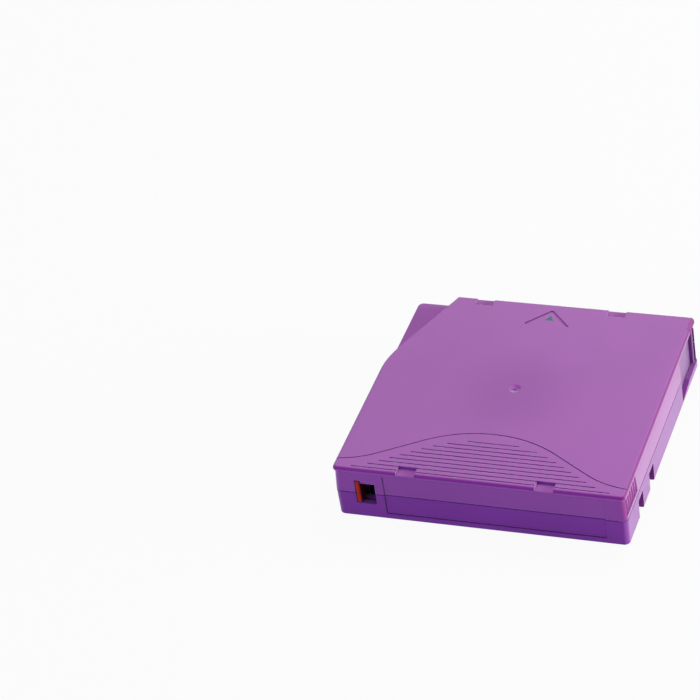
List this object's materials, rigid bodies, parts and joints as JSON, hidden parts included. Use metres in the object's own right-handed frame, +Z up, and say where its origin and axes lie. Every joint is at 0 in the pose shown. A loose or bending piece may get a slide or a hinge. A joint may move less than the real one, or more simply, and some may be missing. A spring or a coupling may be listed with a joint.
{
  "type": "data tape cartridge",
  "caption": "Flat purple case with a stepped corner, a sprung side door and a write-protect slider, holding one reel of tape, its brake and a leader pin.",
  "frame": {"origin": "centre of the base, at the case's middle in X and Y", "axes": "+Z up out of the top face, -Y the label end, +Y the end that enters the drive, +X the door side"},
  "size_m": [0.1054, 0.102, 0.0215],
  "materials": {
    "case_plastic": "satin moulded, fine texture",
    "door_plastic": "satin moulded",
    "slider_plastic": "satin",
    "reel_plastic": "satin",
    "flange_plastic": "smooth",
    "brake_plastic": "satin",
    "release_plastic": "satin",
    "tape": "smooth",
    "steel": "ground",
    "spring_steel": "drawn wire",
    "clip_plastic": "satin",
    "board": "solder mask",
    "chip": "moulded"
  },
  "bodies": {
    "case": {"lower_case": "case_plastic", "upper_case": "case_plastic", "case_screws": "steel", "tape_leader": "tape", "leader_pin": "steel", "leader_clip": "clip_plastic", "pin_spring": "spring_steel", "door_spring": "spring_steel", "brake_spring": "spring_steel", "memory_board": "board", "memory_chip": "chip"},
    "reel": {"reel_hub": "reel_plastic", "upper_flange": "flange_plastic", "reel_plate": "steel", "tape_pack": "tape"},
    "release": {"release_plate": "release_plastic"},
    "brake": {"brake": "brake_plastic"},
    "door": {"door": "door_plastic"},
    "slider": {"write_protect_slider": "slider_plastic"}
  },
  "joints": [
    {"name": "door_slide", "type": "slide", "parent": "case", "child": "door", "axis": [0, -1, 0], "range_m": [0, 0.0191], "stiffness_N_per_m": 25, "springref_m": -0.012, "deforming": ["door_spring"]},
    {"name": "write_protect_slide", "type": "slide", "parent": "case", "child": "slider", "axis": [1, 0, 0], "range_m": [0, 0.0052]},
    {"name": "reel_spin", "type": "hinge", "parent": "case", "child": "reel", "pos_m": [0, 0, 0], "axis": [0, 0, 1], "continuous": true},
    {"name": "brake_lift", "type": "slide", "parent": "case", "child": "brake", "axis": [0, 0, 1], "range_m": [0, 0.0018], "stiffness_N_per_m": 300, "springref_m": -0.004, "deforming": ["brake_spring"]},
    {"name": "release_lift", "type": "slide", "parent": "reel", "child": "release", "axis": [0, 0, 1], "range_m": [0, 0.0018]}
  ],
  "couplings": [
    {"joint": "release_lift", "follows": "brake_lift", "ratio": 1}
  ]
}
